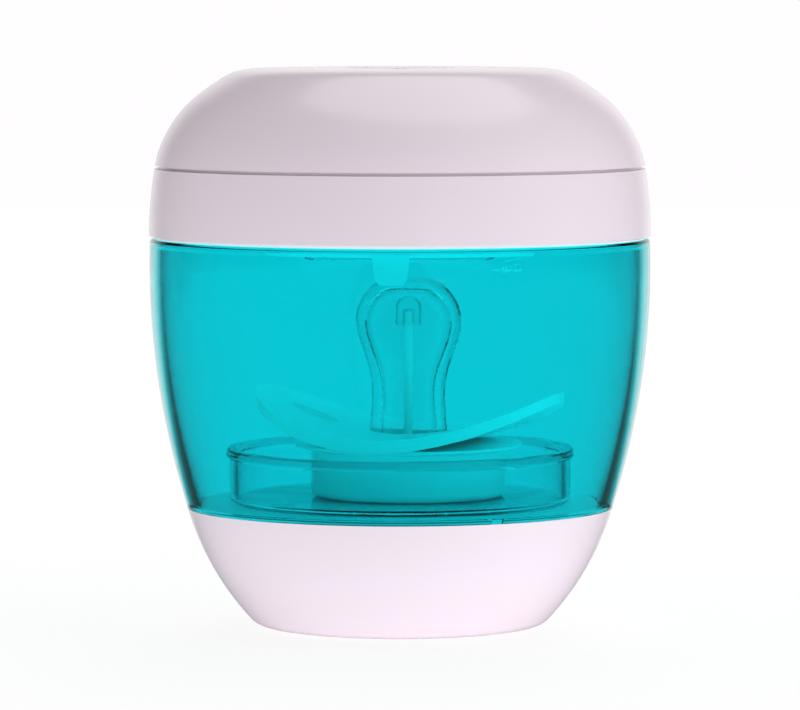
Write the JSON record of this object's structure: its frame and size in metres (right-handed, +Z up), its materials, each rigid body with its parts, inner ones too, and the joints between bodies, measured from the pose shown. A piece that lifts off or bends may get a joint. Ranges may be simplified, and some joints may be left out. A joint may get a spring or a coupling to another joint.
{
  "type": "pacifier sterilizer case",
  "caption": "Round tabletop case with a clear tinted bowl, a domed lid hinged behind that carries a lamp, a cup on its floor and a pacifier standing in it.",
  "frame": {"origin": "middle of the foot pad's underside, on the case's axis", "axes": "+Z up along the case's axis, -Y towards the front, where the lid opens, +Y towards the hinge"},
  "size_m": [0.076, 0.0801, 0.085],
  "materials": {
    "shell_white": "smooth satin, faint lilac",
    "liner_white": "fine matt",
    "bowl_turquoise": "clear polished turquoise plastic",
    "lens_clear": "clear polished",
    "silicone_clear": "soft clear silicone",
    "silicone_white": "matt silicone",
    "silicone_grey": "matt silicone",
    "pacifier_plastic": "smooth satin",
    "steel": "turned",
    "reflector_metal": "polished",
    "board_green": "solder mask",
    "board_white": "white solder mask",
    "part_black": "moulded",
    "led_window": "small lens",
    "battery_foil": "foil"
  },
  "bodies": {
    "case": {"base_shell": "shell_white", "foot_pad": "silicone_grey", "base_weight": "steel", "base_deck": "liner_white", "base_screws": "steel", "bowl_seal": "silicone_grey", "bowl": "bowl_turquoise", "holder_cup": "bowl_turquoise", "hinge_pin": "steel", "interlock_magnet": "steel"},
    "lid": {"lid_band": "shell_white", "lid_cap": "shell_white", "lid_liner": "liner_white", "lid_gasket": "silicone_white", "lid_screws": "steel", "latch_tongue": "liner_white", "lamp_housing": "liner_white", "lamp_lens": "lens_clear", "lamp_reflector": "reflector_metal", "uv_board": "board_white", "uv_leds": "led_window", "main_board": "board_green", "board_header": "part_black", "tact_switch": "part_black", "hall_sensor": "part_black", "light_pipe": "lens_clear", "charge_socket": "steel", "battery_cell": "battery_foil", "battery_bracket": "steel"},
    "button": {"power_button": "shell_white", "switch_plunger": "part_black"},
    "port_flap": {"port_cover": "silicone_white"},
    "pacifier": {"pacifier_knob": "pacifier_plastic", "pacifier_shield": "pacifier_plastic", "pacifier_teat": "silicone_clear", "pacifier_stem": "pacifier_plastic", "pacifier_nub": "silicone_clear"}
  },
  "joints": [
    {"name": "lid_hinge", "type": "hinge", "parent": "case", "child": "lid", "pos_m": [0, 0.0402, 0.05925], "axis": [-1, 0, 0], "range_deg": [0, 100]},
    {"name": "pacifier_lift", "type": "slide", "parent": "case", "child": "pacifier", "axis": [0, 0, 1], "range_m": [0, 0.0022]},
    {"name": "button_press", "type": "slide", "parent": "lid", "child": "button", "axis": [0, 0, -1], "range_m": [0, 0.0006], "stiffness_N_per_m": 600, "springref_m": -0.001},
    {"name": "port_flap_hinge", "type": "hinge", "parent": "lid", "child": "port_flap", "pos_m": [0, 0.0375, 0.06835], "axis": [1, 0, 0], "range_deg": [0, 105]}
  ]
}
